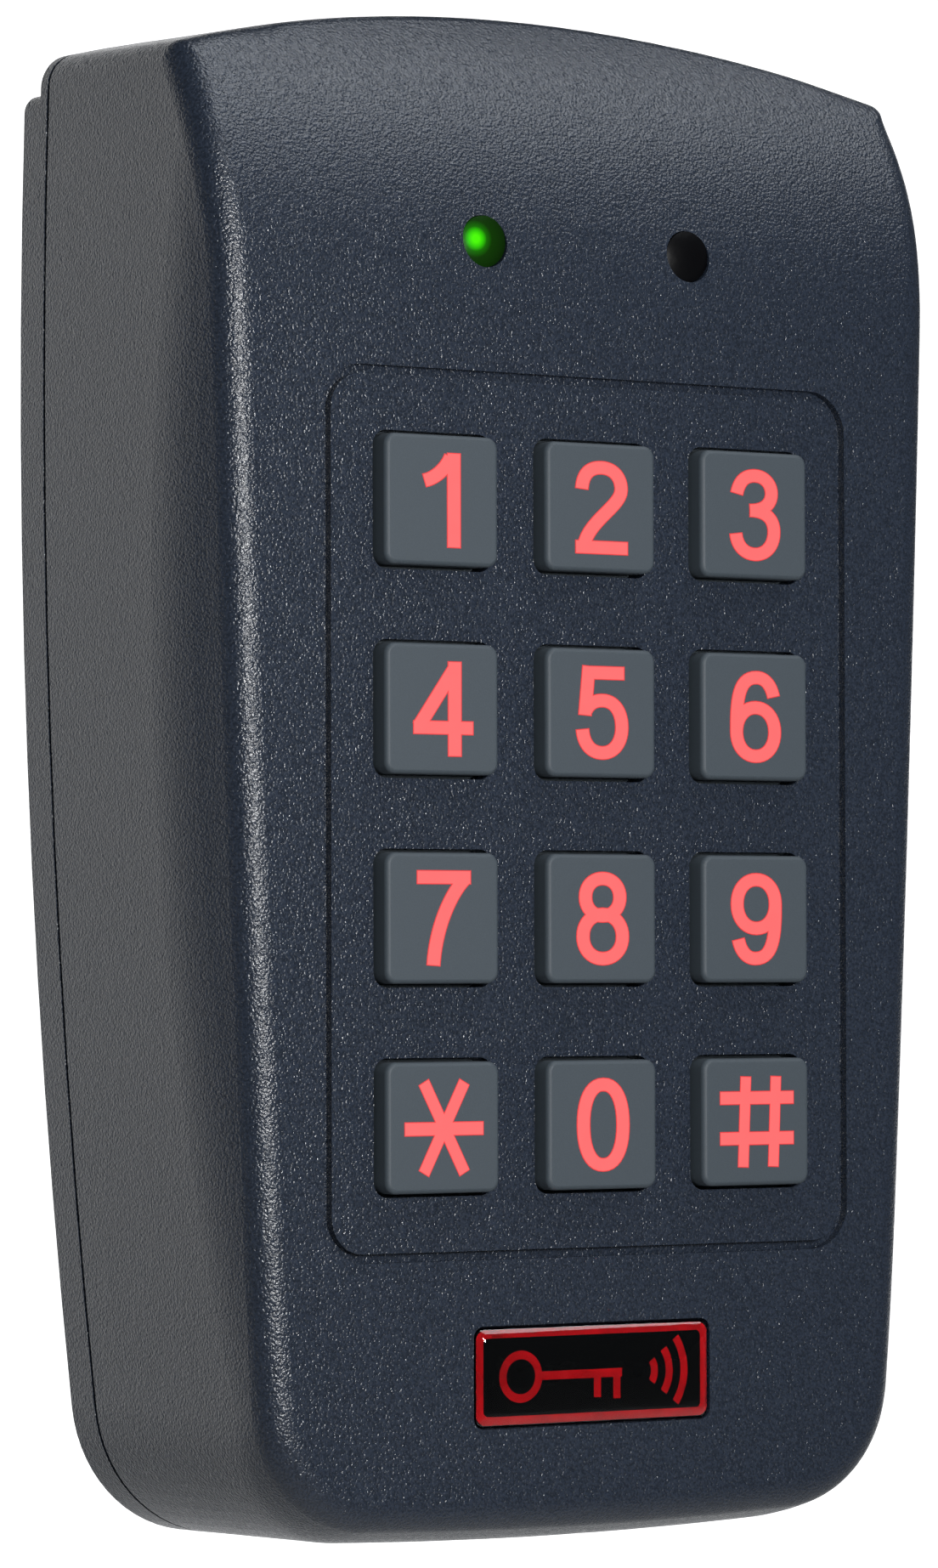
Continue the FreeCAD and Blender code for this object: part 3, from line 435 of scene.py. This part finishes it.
def legends():
    """The backlit legend of every key, with a redder glow round its edge."""
    core = glow("legend_core", (1.0, 0.14, 0.14), 0.93, (0.3, 0.01, 0.01))
    halo = glow("legend_edge", (0.62, 0.035, 0.04), 0.7, (0.2, 0.01, 0.01))
    for key in KEYS:
        low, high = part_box(key)
        centre = (low + high) / 2
        strokes, stretch = legend_strokes(key)
        for part, grow, sunk, material in (("halo", HALO, HALO_SUNK, halo), ("legend", 0.0, 0.0, core)):
            polygons = []
            for stroke in strokes:
                polygons += ribbon(stroke, STROKE + 2 * grow, stretch, grow)
            flat_piece(f"{key}_{part}", polygons, centre, low.y + LEGEND_DEEP * MM, low.y + sunk * MM,
                       material, key)


def key_caps():
    """Each cap again with its face a hair lower, so that its legend ends in the CAD cap's front plane."""
    for key in KEYS:
        mesh = NODES[key].data.copy()
        mesh.name = key + "_cap"
        front = min(v.co.y for v in mesh.vertices)
        for vertex in mesh.vertices:
            if vertex.co.y < front + FACE_BAND * MM:
                vertex.co.y += FACE_DROP * MM
        cap = bpy.data.objects.new(key + "_cap", mesh)
        bpy.context.scene.collection.objects.link(cap)
        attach(cap, key)
        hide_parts(key)


LED_CROWN = 0.91       # height of the CAD lens's crown, and a hair
LED_FLATTER = 0.45     # share of that height that is kept


def led_lenses():
    """Each LED again with a flatter crown, so that its edge comes nearly up to the panel."""
    for name, slot in (("left_status_led", "led_green"), ("right_status_led", "led_dark")):
        mesh = NODES[name].data.copy()
        mesh.name = name + "_lens"
        front = min(v.co.y for v in mesh.vertices)
        for vertex in mesh.vertices:
            if vertex.co.y < front + LED_CROWN * MM:
                vertex.co.y = front + (vertex.co.y - front) * LED_FLATTER
        lens = bpy.data.objects.new(name + "_lens", mesh)
        bpy.context.scene.collection.objects.link(lens)
        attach(lens, "housing")
        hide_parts(name)


# ---------------------------------------------------------------- badge
BORDER = 0.75          # width of the printed frame
BORDER_INSET = 0.35
BORDER_CORNER = 0.8
MARK_STROKE = 0.8
PRINT_THICK = 0.03     # the print stands this far in front of the label's face
PRINT_SUNK = 0.1       # and reaches this far into it
DOME_PROFILE = ((0, 0), (0.02, 0.22), (0.12, 0.34), (0.3, 0.5), (0.5, 0.65), (0.7, 0.79), (0.85, 0.87),
                (1.05, 0.93), (1.4, 0.97), (2.2, 0.99), (3.6, 1))   # inset in mm, share of the height


def rounded(width, height, corner, steps=8):
    """Points round a rectangle with rounded corners."""
    points = []
    for turn, (x, y) in enumerate(((1, 1), (-1, 1), (-1, -1), (1, -1))):
        for i in range(steps + 1):
            angle = math.pi / 2 * (turn + i / steps)
            points.append(Vector((x * (width / 2 - corner) + corner * math.cos(angle),
                                  y * (height / 2 - corner) + corner * math.sin(angle))))
    return points


def badge():
    """Printed red border and mark on the label, and resin domed over them."""
    low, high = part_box("badge_label")
    centre = (low + high) / 2
    width, height = (high.x - low.x) / MM, (high.z - low.z) / MM
    red = plain_moulding("badge_red", (0.42, 0.003, 0.006), 0.5, Specular_IOR_Level=0.0)
    outer = rounded(width - 2 * BORDER_INSET, height - 2 * BORDER_INSET, BORDER_CORNER)
    window = BORDER_INSET + BORDER
    inner = rounded(width - 2 * window, height - 2 * window, BORDER_CORNER / 2)
    count = len(outer)
    border = [[outer[i], outer[(i + 1) % count], inner[(i + 1) % count], inner[i]] for i in range(count)]
    back, front = low.y + PRINT_SUNK * MM, low.y - PRINT_THICK * MM
    flat_piece("badge_border", border, centre, back, front, red, "housing")
    mark = ribbon(oval(-8.2, 0, 2.0, 2.0), MARK_STROKE, 1.0, 0)
    for line in (path((-6.2, 0), (3.2, 0)), path((0.4, 0), (0.4, -2.2)), path((2.6, 0), (2.6, -2.4))):
        mark += ribbon(line, MARK_STROKE, 1.0, 0)
    for radius in (1.7, 3.4, 5.1):
        mark += ribbon(oval(5.2, 0, radius, radius, -36, 72), MARK_STROKE, 1.0, 0)
    flat_piece("badge_mark", mark, centre, back, front, red, "housing")
    resin_dome()


def resin_dome():
    """The clear pour: upright at its rim, then a bevel, then a nearly level top."""
    low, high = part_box("badge_resin")
    centre = (low + high) / 2
    width, height = (high.x - low.x) / MM, (high.z - low.z) / MM
    build = bmesh.new()
    rings = []
    for inset, rise in DOME_PROFILE:
        shape = rounded(width - 2 * inset, height - 2 * inset, max(0.8 - inset * 0.3, 0.3))
        depth = high.y - rise * (high.y - low.y)
        rings.append([build.verts.new((centre.x + p.x * MM, depth, centre.z + p.y * MM)) for p in shape])
    for lower, upper in zip(rings, rings[1:]):
        for i in range(len(lower)):
            j = (i + 1) % len(lower)
            build.faces.new((lower[i], lower[j], upper[j], upper[i]))
    build.faces.new(rings[0])
    build.faces.new(rings[-1])
    bmesh.ops.recalc_face_normals(build, faces=build.faces)
    mesh = bpy.data.meshes.new("badge_dome")
    build.to_mesh(mesh)
    build.free()
    mesh.shade_smooth()
    mesh.materials.append(clear_resin())
    dome = bpy.data.objects.new("badge_dome", mesh)
    bpy.context.scene.collection.objects.link(dome)
    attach(dome, "housing")
    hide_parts("badge_resin")


# ---------------------------------------------------------------- stage, lights and camera
FLOOR_DROP = 0.35      # in metres, as are the sweep's sizes
SWEEP_RADIUS = 1.5
SWEEP_DEPTH = 5.0
SWEEP_HEIGHT = 4.0
SWEEP_WIDTH = 14.0
SWEEP_STEPS = 16


def stage():
    """A pale floor that curves up into a backdrop behind the object."""
    floor = cad_box[0].z - FLOOR_DROP
    profile = [(-SWEEP_DEPTH, floor), (SWEEP_DEPTH - SWEEP_RADIUS, floor)]
    for i in range(1, SWEEP_STEPS + 1):
        angle = math.pi / 2 * i / SWEEP_STEPS
        profile.append((SWEEP_DEPTH - SWEEP_RADIUS + SWEEP_RADIUS * math.sin(angle),
                        floor + SWEEP_RADIUS * (1 - math.cos(angle))))
    profile.append((SWEEP_DEPTH, floor + SWEEP_HEIGHT))
    mesh = bpy.data.meshes.new("floor")
    side = SWEEP_WIDTH / 2
    points = [(x, y, z) for y, z in profile for x in (-side, side)]
    faces = [(2 * i, 2 * i + 1, 2 * i + 3, 2 * i + 2) for i in range(len(profile) - 1)]
    mesh.from_pydata(points, [], faces)
    mesh.shade_smooth()
    paper = Finish("pale_floor", (0.8, 0.8, 0.8), 0.9, Emission_Color=(1, 1, 1, 1))
    paper.bump(paper.noise(30), 0.1)
    split = paper.add("ShaderNodeSeparateXYZ")
    paper.link(paper.place, split.inputs["Vector"])
    shine = paper.spread(split.outputs["Y"], 0, 0.95, 0.3, 1.6)
    paper.link(shine, paper.shader.inputs["Emission Strength"])
    mesh.materials.append(paper.material)
    sweep = bpy.data.objects.new("floor", mesh)
    bpy.context.scene.collection.objects.link(sweep)


def softbox(name, azimuth, elevation, distance, size, watts, colour=(1, 1, 1)):
    """An area light that faces the object; azimuth 0 is in front of it and 90 on its right."""
    lamp = bpy.data.lights.new(name, "AREA")
    lamp.shape = "RECTANGLE"
    lamp.size, lamp.size_y = size
    lamp.energy = watts
    lamp.color = colour
    light = bpy.data.objects.new(name, lamp)
    a, e = math.radians(azimuth), math.radians(elevation)
    centre = (cad_box[0] + cad_box[1]) / 2
    bearing = Vector((math.sin(a) * math.cos(e), -math.cos(a) * math.cos(e), math.sin(e)))
    light.location = centre + distance * bearing
    light.rotation_euler = (centre - light.location).to_track_quat("-Z", "Y").to_euler()
    bpy.context.scene.collection.objects.link(light)


def lights():
    softbox("key_front", -15, 7, 0.42, (0.05, 0.12), 2.4)
    softbox("overhead", 45, 62, 0.9, (0.7, 0.5), 5.4, (0.91, 0.95, 1))
    world = bpy.data.worlds.new("studio")
    world.use_nodes = True
    world.node_tree.nodes["Background"].inputs["Color"].default_value = (0.86, 0.93, 1.0, 1)
    world.node_tree.nodes["Background"].inputs["Strength"].default_value = 0.1
    bpy.context.scene.world = world
    bpy.context.scene.view_settings.view_transform = "Standard"


CAMERA_PLACE = (-333.59, -507.39, -18.14)   # in millimetres, as is the target
CAMERA_TARGET = (-13.75, -33.2, -1.22)
CAMERA_ROLL = -0.1203                       # in degrees
CAMERA_LENS = 143.4
SENSOR = 36


def camera():
    lens = bpy.data.cameras.new("camera")
    lens.sensor_fit = "VERTICAL"
    lens.sensor_height = SENSOR
    lens.sensor_width = SENSOR
    lens.lens = CAMERA_LENS
    lens.clip_start, lens.clip_end = 0.01, 50
    eye = bpy.data.objects.new("camera", lens)
    place, target = Vector(CAMERA_PLACE) * MM, Vector(CAMERA_TARGET) * MM
    aim = (target - place).to_track_quat("-Z", "Y").to_matrix().to_4x4()
    eye.matrix_world = Matrix.Translation(place) @ aim @ Matrix.Rotation(math.radians(CAMERA_ROLL), 4, "Z")
    bpy.context.scene.collection.objects.link(eye)
    bpy.context.scene.camera = eye


finish_nodes()
key_caps()
legends()
led_lenses()
badge()
stage()
lights()
camera()
